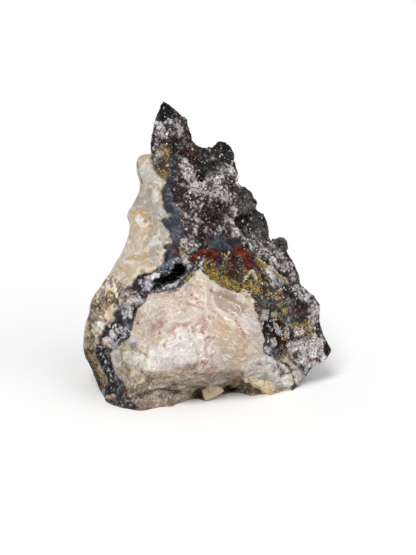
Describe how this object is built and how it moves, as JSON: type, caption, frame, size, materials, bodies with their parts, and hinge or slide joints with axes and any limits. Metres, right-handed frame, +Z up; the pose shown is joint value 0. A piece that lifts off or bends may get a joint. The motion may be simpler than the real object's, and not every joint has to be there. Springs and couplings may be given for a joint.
{
  "type": "manganese quartz specimen",
  "caption": "Broken hand specimen of milky quartz and calcite with a dark manganese-stained quartz druse and a small open vug, standing on its flat broken base.",
  "frame": {"origin": "centre of the specimen's bounding box at the level of its broken base", "axes": "+Z up from the broken base to the spike, +X to the right of the displayed face, +Y towards the back; the displayed face looks along -Y"},
  "size_m": [0.0822, 0.0518, 0.0949],
  "materials": {
    "rock": "broken milky quartz and calcite, satin to glassy, with dark manganese-stained druse, blue-grey oxide bands, red hematite and yellow-brown limonite stains"
  },
  "bodies": {
    "root": {"quartz_rock": "rock"}
  },
  "joints": []
}
